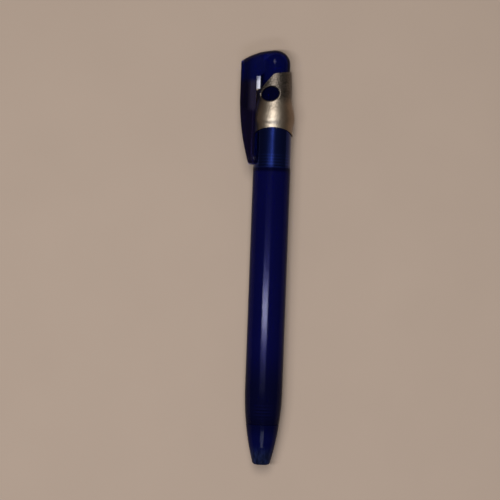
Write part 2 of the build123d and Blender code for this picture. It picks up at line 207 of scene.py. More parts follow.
class PenClipSettings(bpy.types.PropertyGroup):
    """Looks of the clip button"""

    root: colour_property("Root", "Colour of the thick root and dome", (0.007, 0.013, 0.215))
    thin: colour_property("Thin", "Colour over the hollow of the clip", (0.092, 0.073, 0.165))
    tip: colour_property("Tip", "Colour of the solid lower clip", (0.018, 0.012, 0.058))
    outer: colour_property("Outer wall", "Colour of the clip's outer wall", (0.03, 0.06, 0.60))
    hollow_top: length_property("Hollow top", "Height where the root begins", 126.8 * MM)
    hollow_wall: length_property("Hollow width", "Reach of the hollow from the clip's back", 5.8 * MM)
    hollow_low: length_property("Hollow low", "Height where the hollow ends", 118.1 * MM)
    clearness: share_property("Clearness", "Share of light let through", 0.85)
    roughness: share_property("Roughness", "Least roughness of the plastic", 0.06)
    polish: share_property("Polish", "Roughness of the skin", 0.05)


class PenWorksSettings(bpy.types.PropertyGroup):
    """Colours of the pieces inside"""

    plunger: colour_property("Plunger", "Colour of the plunger", (0.015, 0.02, 0.10))
    rotor: colour_property("Rotor", "Colour of the rotor", (0.80, 0.80, 0.80))
    tube: colour_property("Tube", "Colour of the refill's tube", (0.82, 0.83, 0.84))
    ink: colour_property("Ink", "Colour of the ink", (0.80, 0.82, 0.86))
    follower: colour_property("Follower", "Colour of the grease behind the ink", (0.75, 0.72, 0.60))
    tip: colour_property("Tip", "Colour of the point's metal", (0.70, 0.66, 0.56))
    ball: colour_property("Ball", "Colour of the ball", (0.55, 0.55, 0.56))


class PenSpringSettings(bpy.types.PropertyGroup):
    """Sizes and colour of the return spring"""

    wire: length_property("Wire", "Radius of the wire", 0.2 * MM)
    turns: IntProperty(name="Turns", description="Number of turns", default=11, min=1)
    sides: IntProperty(name="Sides", description="Facets round the wire", default=12, min=6)
    steps: IntProperty(name="Steps", description="Facets along one turn", default=48, min=12)
    stroke: length_property("Stroke", "Travel that closes the spring", 4.0 * MM)
    steel: colour_property("Steel", "Colour of the wire", (0.60, 0.60, 0.60))


class PenStageSettings(bpy.types.PropertyGroup):
    """Floor, lights and camera"""

    floor: colour_property("Floor", "Colour of the floor", (0.42, 0.33, 0.265))
    room: colour_property("Room", "Colour of the dim room", (0.090, 0.085, 0.080))
    sky_lean: angle_property("Sky lean", "Lean of the soft light, negative towards the clip", -3.0)
    sky_tilt: angle_property("Sky tilt", "Tilt of the soft light, negative towards the nose", 21.0)
    sky_strength: FloatProperty(name="Sky strength", description="Soft light on the floor", default=1.3)
    sky_size: angle_property("Sky size", "Width of the soft light", 24.0)
    sky_colour: colour_property("Sky colour", "Colour of the soft light", (1.0, 0.97, 0.93))
    strip_lean: angle_property("Strip lean", "Lean of the strip light, negative towards the clip", -10.5)
    strip_tilt: angle_property("Strip tilt", "Tilt of the strip light, negative towards the nose", -3.4)
    strip_glow: FloatProperty(name="Strip glow", description="Brightness of the strip light", default=62.0)
    strip_distance: length_property("Strip distance", "From the pen to the strip light", 0.5)
    strip_length: length_property("Strip length", "Length of the strip light, across the pen", 0.29)
    strip_width: length_property("Strip width", "Width of the strip light, along the pen", 0.022)
    fill_lean: angle_property("Fill lean", "Lean of the fill light, negative towards the clip", -1.0)
    fill_tilt: angle_property("Fill tilt", "Tilt of the fill light, negative towards the nose", -30.0)
    fill_distance: length_property("Fill distance", "From the pen to the fill light", 1.0)
    fill_glow: FloatProperty(name="Fill glow", description="Brightness of the fill light", default=7.5)
    fill_length: length_property("Fill length", "Length of the fill light, across the pen", 0.4)
    fill_width: length_property("Fill width", "Width of the fill light, along the pen", 0.13)
    fill_colour: colour_property("Fill colour", "Colour of the fill light", (0.75, 0.80, 1.0))
    elevation: angle_property("Elevation", "Height of the camera above the floor", 89.0)
    roll: angle_property("Roll", "Turn of the picture", 2.1)
    distance: length_property("Distance", "From the camera to the pen", 500.0 * MM)
    picture: length_property("Picture", "Width that the picture takes in at the pen", 166.75 * MM)
    aim: FloatVectorProperty(
        name="Aim", description="Point in the middle of the picture",
        default=(-4.04 * MM, 2.1 * MM, AXIS_Z), subtype="XYZ", unit="LENGTH", size=3,
    )


# Shaders

# Positions of sockets: Texture Coordinate's object coordinates and Mix's colours
OBJECT_PLACE = 3
MIX_FACTOR = 0
MIX_FIRST = 6
MIX_SECOND = 7
MIX_RESULT = 2

# Thin walls hardly bend the light, and their gloss is slight
WALL_IOR = 1.05
WALL_COAT = 0.1
FLUID_IOR = 1.45

# Stretch of a pattern, across, along and up: less than 1 draws it out
EVEN = (1.0, 1.0, 1.0)
FLOWING = (1.0, 0.25, 1.0)
STREAKED = (1.0, 0.12, 1.0)
MOULD_FLOW = (1.0, 0.3, 1.0)
TUBE_FLOW = (1.0, 0.2, 1.0)
TURNED = (0.05, 1.0, 0.05)

# Levels of a noise between which specks and streaks begin and are full
SPECKED = (0.35, 0.65)


class Signal:
    """One shader socket. Arithmetic on it adds Math nodes."""

    def __init__(self, finish, socket):
        self.finish = finish
        self.socket = socket

    def math(self, operation, *values):
        sockets = dict(enumerate(values))
        return self.finish.node("ShaderNodeMath", {"operation": operation}, sockets)[0]

    def __add__(self, other):
        return self.math("ADD", self, other)

    __radd__ = __add__

    def __sub__(self, other):
        return self.math("SUBTRACT", self, other)

    def __rsub__(self, other):
        return self.math("SUBTRACT", other, self)

    def __mul__(self, other):
        return self.math("MULTIPLY", self, other)

    __rmul__ = __mul__

    def __abs__(self):
        return self.math("ABSOLUTE", self)

    def wave(self):
        return self.math("SINE", self)


class Finish:
    """A material under construction."""

    def __init__(self, name):
        self.material = bpy.data.materials.new(name)
        self.material.use_nodes = True
        self.tree = self.material.node_tree
        self.tree.nodes.clear()
        self.output = self.tree.nodes.new("ShaderNodeOutputMaterial")
        self.skin = self.tree.nodes.new("ShaderNodeBsdfPrincipled")
        self.tree.links.new(self.skin.outputs[0], self.output.inputs["Surface"])

    def feed(self, node, values):
        """Links signals to a node's sockets and sets plain values on them."""
        for key, value in values.items():
            socket = node.inputs[key]
            if isinstance(value, Signal):
                self.tree.links.new(value.socket, socket)
            elif socket.type == "RGBA":
                socket.default_value = (*value, 1.0)
            else:
                socket.default_value = value

    def node(self, kind, settings=None, sockets=None):
        """Adds a node, sets it up, feeds its sockets and returns its outputs as signals."""
        node = self.tree.nodes.new(kind)
        for key, value in (settings or {}).items():
            setattr(node, key, value)
        self.feed(node, sockets or {})
        return [Signal(self, socket) for socket in node.outputs]

    def place(self):
        """Object coordinates of the surface point."""
        return self.node("ShaderNodeTexCoord")[OBJECT_PLACE]

    def axes(self):
        """Coordinates across the pen, along it and up."""
        return self.node("ShaderNodeSeparateXYZ", None, {"Vector": self.place()})

    def noise(self, grain, detail=2.0, stretch=EVEN):
        """Noise whose lumps are about one grain across, in metres."""
        place = self.node("ShaderNodeMapping", None, {"Vector": self.place(), "Scale": stretch})[0]
        sockets = {"Vector": place, "Scale": 1.0 / grain, "Detail": detail}
        return self.node("ShaderNodeTexNoise", None, sockets)[0]

    def ramp(self, signal, zone, edge=0.0):
        """Smooth step of a signal from 0 to 1 through a zone, which is measured from an edge."""
        begin, full = zone
        settings = {"interpolation_type": "SMOOTHSTEP"}
        sockets = {"Value": signal, "From Min": edge + begin, "From Max": edge + full}
        return self.node("ShaderNodeMapRange", settings, sockets)[0]

    def fall(self, signal, zone, edge=0.0):
        """Smooth step of a signal from 1 to 0 through a zone."""
        return 1.0 - self.ramp(signal, zone, edge)

    def rings(self, along, pitch):
        """Even rings round the pen, as a wave from 0 to 1."""
        return 0.5 + 0.5 * (along * (math.tau / pitch)).wave()

    def blend(self, factor, first, second):
        """Mix of two colours."""
        sockets = {MIX_FACTOR: factor, MIX_FIRST: first, MIX_SECOND: second}
        return self.node("ShaderNodeMix", {"data_type": "RGBA"}, sockets)[MIX_RESULT]

    def tones(self, factor, colour, shades):
        """Mix of two shades of a colour."""
        first, second = shades
        return self.blend(factor, shade(colour, first), shade(colour, second))

    def bump(self, height, depth, strength=1.0):
        """Normal that follows a height signal, whose full depth is in metres."""
        sockets = {"Height": height, "Distance": depth, "Strength": strength}
        return self.node("ShaderNodeBump", None, sockets)[0]

    def set(self, **values):
        """Sets the skin's sockets; an underscore stands for a space."""
        self.feed(self.skin, {key.replace("_", " "): value for key, value in values.items()})
        return self.material


def shade(colour, factor):
    """Darker or lighter colour."""
    return tuple(min(1.0, part * factor) for part in colour)


# A zone is two distances from an edge: where a change begins and where it is full

# Zones of the barrel, from its axis, the nose's top, the seam with the nose and the sleeve's foot
# The barrel's sides, where shade is painted on the sleeve and the nose's rings are left out
BARREL_SHADED_SIDES = (1.5 * MM, 4.0 * MM)
FRONT_TO_BODY = (4.0 * MM, 20.0 * MM)
FRONT_RINGS_END = (-0.8 * MM, 0.2 * MM)
FRONT_RINGS_START = (1.5 * MM, 3.0 * MM)
SEAM_SHADOW = (0.5 * MM, 4.0 * MM)
NECK_SHADOW_GAP = (-2.2 * MM, -1.2 * MM)
NECK_START = (-1.0 * MM, 0.4 * MM)
NECK_RINGS_END = (3.5 * MM, 5.0 * MM)

# Shades of the barrel's colours, and shares of its patterns in the metal and the roughness
BARREL_TONES = (0.85, 1.12)
FRONT_RING_TONES = (0.6, 1.65)
NECK_RING_TONES = (1.9, 0.65)
SEAM_SHADE = 0.75
# Darkness of the painted shadow in the gap below the sleeve
GAP_PAINTED_SHADE = 0.4
# Painted shade on the sides of the sleeve seen through the wall
NECK_SIDE_SHADE = 0.5
NECK_SIDE_SHADE_SHARE = 0.6
BARREL_METAL = 0.04
CLOUD_ROUGHNESS = 0.05
FROST_ROUGHNESS = 0.03


def front_colour(finish, settings, along, shaded_sides):
    """Front of the barrel, where the nose's thread shows as faint rings, painted only in the middle where
    they catch the light, with a painted shadow beside the seam.
    """
    ridges = finish.tones(finish.rings(along, settings.front_pitch), settings.front, FRONT_RING_TONES)
    ringed = finish.fall(along, FRONT_RINGS_END, nose_high.y)
    ringed = ringed * finish.ramp(along, FRONT_RINGS_START, barrel_low.y)
    # The thread's rings are painted only away from the shaded sides, where the light catches them
    colour = finish.blend(ringed * (1.0 - shaded_sides), settings.front, ridges)
    shadow = finish.fall(along, SEAM_SHADOW, barrel_low.y)
    return finish.blend(shadow, colour, shade(settings.front, SEAM_SHADE))


def neck_colour(finish, settings, along, shaded_sides):
    """Bright sleeve seen through the wall, ringed at its foot, with painted shade darkening its sides."""
    ridges = finish.tones(finish.rings(along, settings.neck_pitch), settings.neck, NECK_RING_TONES)
    smooth = finish.ramp(along, NECK_RINGS_END, sleeve_low.y)
    colour = finish.blend(smooth, ridges, settings.neck)
    # Painted shade: the sleeve is darker at the sides, as the light falls
    return finish.blend(NECK_SIDE_SHADE_SHARE * shaded_sides, colour, shade(settings.neck, NECK_SIDE_SHADE))


def frosted_blue(settings):
    """Translucent blue with a frosted depth under a satin skin, with painted shade on the sides of the
    sleeve seen through it.
    """
    finish = Finish("frosted_blue_plastic")
    grain = finish.noise(grain=0.12 * MM, detail=3.0)
    clouds = finish.noise(grain=1.4 * MM)
    flow = finish.noise(grain=6.0 * MM, stretch=FLOWING)
    across, along, _ = finish.axes()
    # Mask of the sides, where shade is painted
    shaded_sides = finish.ramp(abs(across - AXIS_X), BARREL_SHADED_SIDES)
    body = finish.tones(flow, settings.tint, BARREL_TONES)
    front = finish.fall(along, FRONT_TO_BODY, nose_high.y)
    body = finish.blend(front, body, front_colour(finish, settings, along, shaded_sides))
    # Painted shadow: a dark band in the gap below the sleeve's foot
    gap_shadow = finish.ramp(along, NECK_SHADOW_GAP, sleeve_low.y)
    body = finish.blend(gap_shadow, body, shade(settings.tint, GAP_PAINTED_SHADE))
    neck = finish.ramp(along, NECK_START, sleeve_low.y)
    return finish.set(
        Base_Color=finish.blend(neck, body, neck_colour(finish, settings, along, shaded_sides)),
        Metallic=BARREL_METAL + settings.gleam * neck,
        Roughness=settings.frosting + CLOUD_ROUGHNESS * clouds + FROST_ROUGHNESS * grain,
        Transmission_Weight=settings.clearness,
        IOR=WALL_IOR,
        Coat_Weight=WALL_COAT,
        Coat_Roughness=settings.satin,
        Normal=finish.bump(grain, depth=0.004 * MM, strength=0.4),
    )


# Zones of the nose, from the seam with the barrel and from its open end
NOSE_SHADOW = (-5.0 * MM, -0.5 * MM)
NOSE_HAZE = (2.5 * MM, 7.0 * MM)

# Shades of the nose's colours, and the share of its wear in the roughness
NOSE_TONES = (0.85, 1.15)
HAZE_TONES = (0.5, 1.6)
NOSE_SEAM_SHADE = 0.62
NOSE_WEAR = 0.08


def polished_blue(settings):
    """Translucent blue with a polished skin, with a painted shadow towards the seam and hazy at the open
    end.
    """
    finish = Finish("glossy_blue_plastic")
    wear = finish.noise(grain=0.5 * MM, detail=3.0, stretch=STREAKED)
    flow = finish.noise(grain=4.0 * MM)
    streaks = finish.ramp(finish.noise(grain=0.7 * MM, stretch=STREAKED), SPECKED)
    _, along, _ = finish.axes()
    body = finish.tones(flow, settings.tint, NOSE_TONES)
    shadow = finish.ramp(along, NOSE_SHADOW, barrel_low.y)
    body = finish.blend(shadow, body, shade(settings.tint, NOSE_SEAM_SHADE))
    end = finish.fall(along, NOSE_HAZE, NOSE_Y)
    return finish.set(
        Base_Color=finish.blend(end, body, finish.tones(streaks, settings.haze, HAZE_TONES)),
        Roughness=settings.roughness + NOSE_WEAR * wear,
        Transmission_Weight=settings.clearness,
        IOR=WALL_IOR,
        Coat_Weight=WALL_COAT,
        Coat_Roughness=settings.polish,
        Normal=finish.bump(wear, depth=0.002 * MM, strength=0.1),
    )


# Zones of the collar, from its axis, its top, the foot of its rail and its axis towards the clip
COLLAR_SHADED_SIDES = (1.2 * MM, 4.5 * MM)
COLLAR_SHADED_TOP = (-12.2 * MM, -8.0 * MM)
RAIL_FOOT = (0.0, 0.3 * MM)
RAIL_SIDE = (4.6 * MM, 4.8 * MM)

# Shades of the collar's colours, and shares of its patterns in the metal and the roughness
SILVER_TONES = (0.9, 1.06)
SPECK_TONES = (0.6, 1.4)
RAIL_METAL_LOSS = 0.9
SMEAR_ROUGHNESS = 0.06
SATIN_ROUGHNESS = 0.1


def satin_silver(settings):
    """Metallised plastic with a fine satin grain, with painted shade on its sides and on its top above the
    windows, which is speckled, and a painted highlight on its rail, left pale and matt.
    """
    finish = Finish("satin_silver")
    grain = finish.noise(grain=0.7 * MM, detail=5.0)
    smears = finish.noise(grain=2.2 * MM, detail=3.0)
    specks = finish.ramp(finish.noise(grain=0.45 * MM), SPECKED)
    across, along, _ = finish.axes()
    plated = finish.tones(smears, settings.silver, SILVER_TONES)
    # Painted shade darkens the collar's sides
    shaded_sides = finish.ramp(abs(across - AXIS_X), COLLAR_SHADED_SIDES)
    plated = finish.blend(shaded_sides, plated, settings.shaded_sides)
    # Painted shade on the top above the windows, speckled with the grain
    upper = finish.ramp(along, COLLAR_SHADED_TOP, collar_high.y)
    plated = finish.blend(upper, plated, finish.tones(specks, settings.upper, SPECK_TONES))
    # Painted highlight on the rail: pale, matt and less metal where it catches the light
    rail_highlight = finish.ramp(along, RAIL_FOOT, collar_high.y - settings.rail_drop)
    rail_highlight = rail_highlight * finish.ramp(AXIS_X - across, RAIL_SIDE)
    return finish.set(
        Base_Color=finish.blend(rail_highlight, plated, settings.rail_highlight),
        Metallic=1.0 - RAIL_METAL_LOSS * rail_highlight,
        Roughness=settings.roughness + SMEAR_ROUGHNESS * smears + SATIN_ROUGHNESS * grain,
        Normal=finish.bump(grain, depth=0.09 * MM),
    )


# Zones of the clip button, along from the hollow's ends, across from the clip's back and from the
# hollow's wall, and in height from the plane through the axis
CLIP_RISE = (-1.5 * MM, 0.5 * MM)
CLIP_HEAD = (-0.5 * MM, 1.5 * MM)
CLIP_FACE = (0.4 * MM, 1.2 * MM)
CLIP_INSIDE = (2.2 * MM, 4.2 * MM)
CLIP_OUTER = (-2.0 * MM, 0.0)
CLIP_BODY = (0.0, 0.6 * MM)
CLIP_MIDDLE = (0.6 * MM, 1.8 * MM)
CLIP_BELOW = (2.4 * MM, 3.1 * MM)
# Where painted shade darkens the rounded edges
CLIP_SHADED_EDGE = (2.6 * MM, 3.9 * MM)

# Shades of the clip button's colours, and the share of its wear in the roughness
TIP_EDGE_SHADE_TONES = (1.0, 0.7)
THIN_TONES = (0.9, 1.1)
ROOT_EDGE_SHADE_TONES = (0.5, 1.0)
CORE_RECESS_SHADE = 0.35
EDGE_PAINTED_SHADE = 0.25
CLIP_WEAR = 0.05


def clear_blue(settings):
    """Polished blue, deep at the root and the solid tip and thin over the hollow of the clip, with painted
    shade on its edges and on the core in the window.
    """
    finish = Finish("clear_blue_plastic")
    wear = finish.noise(grain=0.8 * MM, detail=3.0)
    flow = finish.noise(grain=5.0 * MM)
    across, along, up = finish.axes()
    back = cad_low.x
    wall = back + settings.hollow_wall
    side = abs(up - AXIS_Z)
    inside = finish.ramp(across, CLIP_INSIDE, back)
    body = finish.ramp(across, CLIP_BODY, wall)
    below = finish.fall(side, CLIP_BELOW)

    rise = finish.ramp(along, CLIP_RISE, NOSE_Y + settings.hollow_low)
    # Painted shade: the solid beside the hollow is darker, for the clip's dark outline
    solid = finish.tones(rise, settings.tip, TIP_EDGE_SHADE_TONES)
    thin = finish.tones(flow, settings.thin, THIN_TONES)
    clip = finish.blend(inside * (1.0 - body) * rise, solid, thin)
    outer = below * finish.fall(across, CLIP_OUTER, wall)
    clip = finish.blend(outer, clip, settings.outer)
    # Painted shade: the core is darker, as it shows dark through the collar's window
    clip = finish.blend(body, clip, shade(settings.root, CORE_RECESS_SHADE))

    # Painted shade: the root is darker towards the clip's back and on its rounded edges, for the dark
    # outline
    root = finish.tones(inside, settings.root, ROOT_EDGE_SHADE_TONES)
    root = finish.blend(finish.fall(side, CLIP_SHADED_EDGE), root, shade(settings.root, EDGE_PAINTED_SHADE))
    middle = finish.fall(side, CLIP_MIDDLE)
    face = below * finish.fall(across, CLIP_FACE, back)
    root = finish.blend(middle + (1.0 - middle) * face, root, settings.outer)

    head = finish.ramp(along, CLIP_HEAD, NOSE_Y + settings.hollow_top)
    return finish.set(
        Base_Color=finish.blend(head, clip, root),
        Roughness=settings.roughness + CLIP_WEAR * wear,
        Transmission_Weight=settings.clearness,
        IOR=WALL_IOR,
        Coat_Weight=WALL_COAT,
        Coat_Roughness=settings.polish,
        Normal=finish.bump(wear, depth=0.003 * MM, strength=0.25),
    )


# Shades of the inner pieces and the floor, and shares of their patterns in the roughness
MOULD_TONES = (0.88, 1.06)
FLUID_TONES = (0.92, 1.0)
METAL_TONES = (0.85, 1.08)
FLOOR_TONES = (0.97, 1.03)
MOULD_ROUGHNESS = 0.08
HAZE_ROUGHNESS = 0.1
LINE_ROUGHNESS = 0.12


def moulded(name, colour, roughness):
    """Plain moulded plastic with faint flow marks."""
    finish = Finish(name)
    flow = finish.noise(grain=3.0 * MM, stretch=MOULD_FLOW)
    grain = finish.noise(grain=0.15 * MM, detail=3.0)
    return finish.set(
        Base_Color=finish.tones(flow, colour, MOULD_TONES),
        Roughness=roughness + MOULD_ROUGHNESS * grain,
        Normal=finish.bump(grain, depth=0.01 * MM, strength=0.4),
    )


def clear_fill(name, colour, roughness):
    """Clear fluid with slight haze."""
    finish = Finish(name)
    haze = finish.noise(grain=1.2 * MM, stretch=TUBE_FLOW)
    return finish.set(
        Base_Color=finish.tones(haze, colour, FLUID_TONES),
        Roughness=roughness + HAZE_ROUGHNESS * haze,
        Transmission_Weight=1.0,
        IOR=FLUID_IOR,
    )


def turned_metal(name, colour, roughness, line):
    """Bright metal with fine lines round it."""
    finish = Finish(name)
    lines = finish.noise(grain=line, stretch=TURNED)
    return finish.set(
        Base_Color=finish.tones(lines, colour, METAL_TONES),
        Metallic=1.0,
        Roughness=roughness + LINE_ROUGHNESS * lines,
        Normal=finish.bump(lines, depth=0.006 * MM, strength=0.5),
    )


def floor_cloth(colour):
    """Matt cloth with a faint change of tone."""
    finish = Finish("floor_cloth")
    tone = finish.noise(grain=30.0 * MM)
    return finish.set(
        Base_Color=finish.tones(tone, colour, FLOOR_TONES),
        Roughness=0.9,
        Specular_IOR_Level=0.1,
    )


# Meshes


def ring_of(mesh, radius, height, segments):
    """Vertices of one ring round the pen's axis."""
    turn = math.tau / segments
    return [
        mesh.verts.new(
            (
                AXIS_X + radius * math.cos(turn * index),
                NOSE_Y + height,
                AXIS_Z + radius * math.sin(turn * index),
            )
        )
        for index in range(segments)
    ]


def turned(outline, segments):
    """Bmesh of a closed outline of radius and height turned about the pen's axis."""
    mesh = bmesh.new()
    rings = [ring_of(mesh, radius, height, segments) for radius, height in outline]
    for lower, upper in zip(rings, rings[1:] + rings[:1]):
        for index in range(segments):
            after = (index + 1) % segments
            mesh.faces.new((lower[index], lower[after], upper[after], upper[index]))
    bmesh.ops.recalc_face_normals(mesh, faces=mesh.faces)
    return mesh


def ogive_radius(height, settings, end_radius):
    """Outer radius of the nose and the barrel's front at a height."""
    drop = settings.radius - end_radius
    arc = (settings.ogive**2 + drop**2) / (2 * drop)
    return settings.radius - arc + math.sqrt(arc**2 - (settings.ogive - height) ** 2)


def spread(low, high, count):
    """Even values from low to high, both included."""
    return [low + (high - low) * index / count for index in range(count + 1)]


def helix_tree():
    """Geometry Nodes tree of a wire or ridge wound round the pen's axis."""
    tree = bpy.data.node_groups.new(HELIX_TREE, "GeometryNodeTree")
    inputs = {
        "Radius": "NodeSocketFloat",
        "Pitch": "NodeSocketFloat",
        "Turns": "NodeSocketFloat",
        "Wire": "NodeSocketFloat",
        "Sides": "NodeSocketInt",
        "Steps": "NodeSocketInt",
        "Start": "NodeSocketVector",
        "Material": "NodeSocketMaterial",
    }
    tree.interface.new_socket("Geometry", in_out="OUTPUT", socket_type="NodeSocketGeometry")
    for name, kind in inputs.items():
        tree.interface.new_socket(name, in_out="INPUT", socket_type=kind)
    source = tree.nodes.new("NodeGroupInput")
    result = tree.nodes.new("NodeGroupOutput")

    def node(kind, links, **settings):
        made = tree.nodes.new(kind)
        for key, value in settings.items():
            setattr(made, key, value)
        for key, value in links.items():
            if isinstance(value, bpy.types.NodeSocket):
                tree.links.new(value, made.inputs[key])
            else:
                made.inputs[key].default_value = value
        return made.outputs[0]

    given = source.outputs
    rise = node("ShaderNodeMath", {0: given["Pitch"], 1: given["Turns"]}, operation="MULTIPLY")
    path = node(
        "GeometryNodeCurveSpiral",
        {
            "Resolution": given["Steps"],
            "Rotations": given["Turns"],
            "Start Radius": given["Radius"],
            "End Radius": given["Radius"],
            "Height": rise,
        },
    )
    section = node(
        "GeometryNodeCurvePrimitiveCircle", {"Resolution": given["Sides"], "Radius": given["Wire"]}
    )
    wound = node("GeometryNodeCurveToMesh", {"Curve": path, "Profile Curve": section, "Fill Caps": True})
    laid = node(
        "GeometryNodeTransform",
        {"Geometry": wound, "Translation": given["Start"], "Rotation": (-math.pi / 2, 0.0, 0.0)},
    )
    smooth = node("GeometryNodeSetShadeSmooth", {"Geometry": laid})
    real = node("GeometryNodeRealizeInstances", {"Geometry": smooth})
    done = node("GeometryNodeSetMaterial", {"Geometry": real, "Material": given["Material"]})
    tree.links.new(done, result.inputs["Geometry"])
    return tree


def wound(values):
    """Plain mesh of the helix tree with these inputs."""
    tree = bpy.data.node_groups.get(HELIX_TREE) or helix_tree()
    blank = bpy.data.objects.new("wound", bpy.data.meshes.new("wound"))
    bpy.context.scene.collection.objects.link(blank)
    modifier = blank.modifiers.new("wound", "NODES")
    modifier.node_group = tree
    for item in tree.interface.items_tree:
        if item.item_type == "SOCKET" and item.in_out == "INPUT":
            modifier[item.identifier] = values[item.name]
    evaluated = blank.evaluated_get(bpy.context.evaluated_depsgraph_get())
    mesh = bpy.data.meshes.new_from_object(evaluated)
    bpy.data.objects.remove(blank)
    return mesh


def ridge(radius, depth, pitch, low, high, material):
    """Thread ridge from one height to another."""
    return wound(
        {
            "Radius": radius,
            "Pitch": pitch,
            "Turns": (high - low) / pitch,
            "Wire": depth,
            "Sides": RIDGE_SIDES,
            "Steps": RIDGE_STEPS,
            "Start": (AXIS_X, NOSE_Y + low, AXIS_Z),
            "Material": material,
        }
    )


def add_piece(name, mesh, material, body, slot, *nodes):
    """Object from a bmesh or mesh, shaded smooth up to an angle, riding on a body in place of nodes."""
    if isinstance(mesh, bmesh.types.BMesh):
        data = bpy.data.meshes.new(name)
        for face in mesh.faces:
            face.smooth = True
        for edge in mesh.edges:
            edge.smooth = edge.calc_face_angle(math.pi) < SMOOTH_ANGLE
        mesh.to_mesh(data)
        mesh.free()
    else:
        data = mesh
        data.name = name
    data.materials.clear()
    data.materials.append(material)
    piece = bpy.data.objects.new(name, data)
    bpy.context.scene.collection.objects.link(piece)
    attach(piece, body)
    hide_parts(*nodes)
    return piece


def dress(node, material):
    """Gives a CAD node's object a finish."""
    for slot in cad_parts[node].material_slots:
        slot.material = material


# Stage


def lamp_direction(lean, tilt):
    """Unit vector from the pen to a lamp that leans in X and tilts in Y from overhead."""
    return Vector((math.tan(lean), math.tan(tilt), 1.0)).normalized()


def panel_lamp(name, length, width, glow):
    """Rectangular lamp whose glow stays the same at any size."""
    lamp = bpy.data.lights.new(name, "AREA")
    lamp.shape = "RECTANGLE"
    lamp.size = length
    lamp.size_y = width
    lamp.energy = glow * math.pi * lamp.size * lamp.size_y
    return lamp


def hang(context, lamp, offset):
    """Lamp at an offset from the pen, turned to face it with its length across the pen."""
    holder = bpy.data.objects.new(lamp.name, lamp)
    holder.location = Vector((AXIS_X, 0.0, AXIS_Z)) + offset
    back = offset.normalized()
    along = back.cross(Vector((1.0, 0.0, 0.0))).normalized()
    holder.rotation_mode = "QUATERNION"
    holder.rotation_quaternion = Matrix((along.cross(back), along, back)).transposed().to_quaternion()
    context.scene.collection.objects.link(holder)
    return holder


def lay_floor(context, stage):
    """Plain pale floor under the pen."""
    half = FLOOR_HALF
    floor = bpy.data.meshes.new("floor")
    corners = [(-half, -half, 0), (half, -half, 0), (half, half, 0), (-half, half, 0)]
    floor.from_pydata(corners, [], [(0, 1, 2, 3)])
    floor.materials.append(floor_cloth(stage.floor))
    plane = bpy.data.objects.new("floor", floor)
    context.scene.collection.objects.link(plane)


def light_pen(context, stage):
    """Soft light from overhead, a strip light, a weak fill light and a dim room."""
    sky = bpy.data.lights.new("sky", "SUN")
    sky.energy = stage.sky_strength
    sky.angle = stage.sky_size
    sky.color = stage.sky_colour
    hang(context, sky, lamp_direction(stage.sky_lean, stage.sky_tilt))
    strip = panel_lamp("strip", stage.strip_length, stage.strip_width, stage.strip_glow)
    over = lamp_direction(stage.strip_lean, stage.strip_tilt) * stage.strip_distance
    hang(context, strip, over).visible_camera = False
    fill = panel_lamp("fill", stage.fill_length, stage.fill_width, stage.fill_glow)
    fill.color = stage.fill_colour
    hang(context, fill, lamp_direction(stage.fill_lean, stage.fill_tilt) * stage.fill_distance)

    world = bpy.data.worlds.new("room")
    world.use_nodes = True
    background = world.node_tree.nodes["Background"]
    background.inputs["Color"].default_value = (*stage.room, 1.0)
    background.inputs["Strength"].default_value = 1.0
    context.scene.world = world
    context.scene.view_settings.view_transform = "Standard"


def set_camera(context, stage):
    """Camera almost straight above the pen."""
    lens = bpy.data.cameras.new("camera")
    lens.sensor_width = SENSOR_WIDTH
    lens.lens = lens.sensor_width / 2 / (stage.picture / 2 / stage.distance)
    lens.clip_start = NEAREST_VIEW
    camera = bpy.data.objects.new("camera", lens)
    back = Vector((0.0, -math.cos(stage.elevation), math.sin(stage.elevation)))
    camera.location = Vector(stage.aim) + back * stage.distance
    camera.rotation_mode = "QUATERNION"
    camera.rotation_quaternion = (-back).to_track_quat("-Z", "Y") @ Quaternion((0, 0, 1), stage.roll)
    context.scene.collection.objects.link(camera)
    context.scene.camera = camera


# Operators


class PEN_OT_barrel(bpy.types.Operator):
    """Turn the frosted barrel with its bores"""

    bl_idname = "pen.barrel"
    bl_label = "Barrel"

    def execute(self, context):
        barrel = context.scene.pen_barrel
        end = context.scene.pen_nose.end_radius
        seam = barrel_low.y - NOSE_Y
        top = barrel_high.y - NOSE_Y
        shoulder = nose_high.y - NOSE_Y + barrel.step
        seam_radius = ogive_radius(seam, barrel, end)
        outline = [(seam_radius - barrel.seam, seam)]
        for height in spread(seam + barrel.seam, barrel.ogive, OGIVE_STEPS):
            outline.append((ogive_radius(height, barrel, end), height))
        for height in spread(barrel.ogive, top, STRAIGHT_STEPS)[1:]:
            taper = max(0.0, height - top + TAPER_LENGTH) * TAPER_SLOPE
            outline.append((barrel.radius - taper, height))
        for height in spread(top, shoulder + barrel.step, STRAIGHT_STEPS):
            outline.append((barrel.bore, height))
        outline.append((barrel.front_bore, shoulder))
        outline.append((barrel.front_bore, seam))
        mesh = turned(outline, barrel.segments)
        material = frosted_blue(barrel)
        add_piece("barrel_shell", mesh, material, "barrel_body", "frosted_blue_plastic", "barrel")
        return {"FINISHED"}


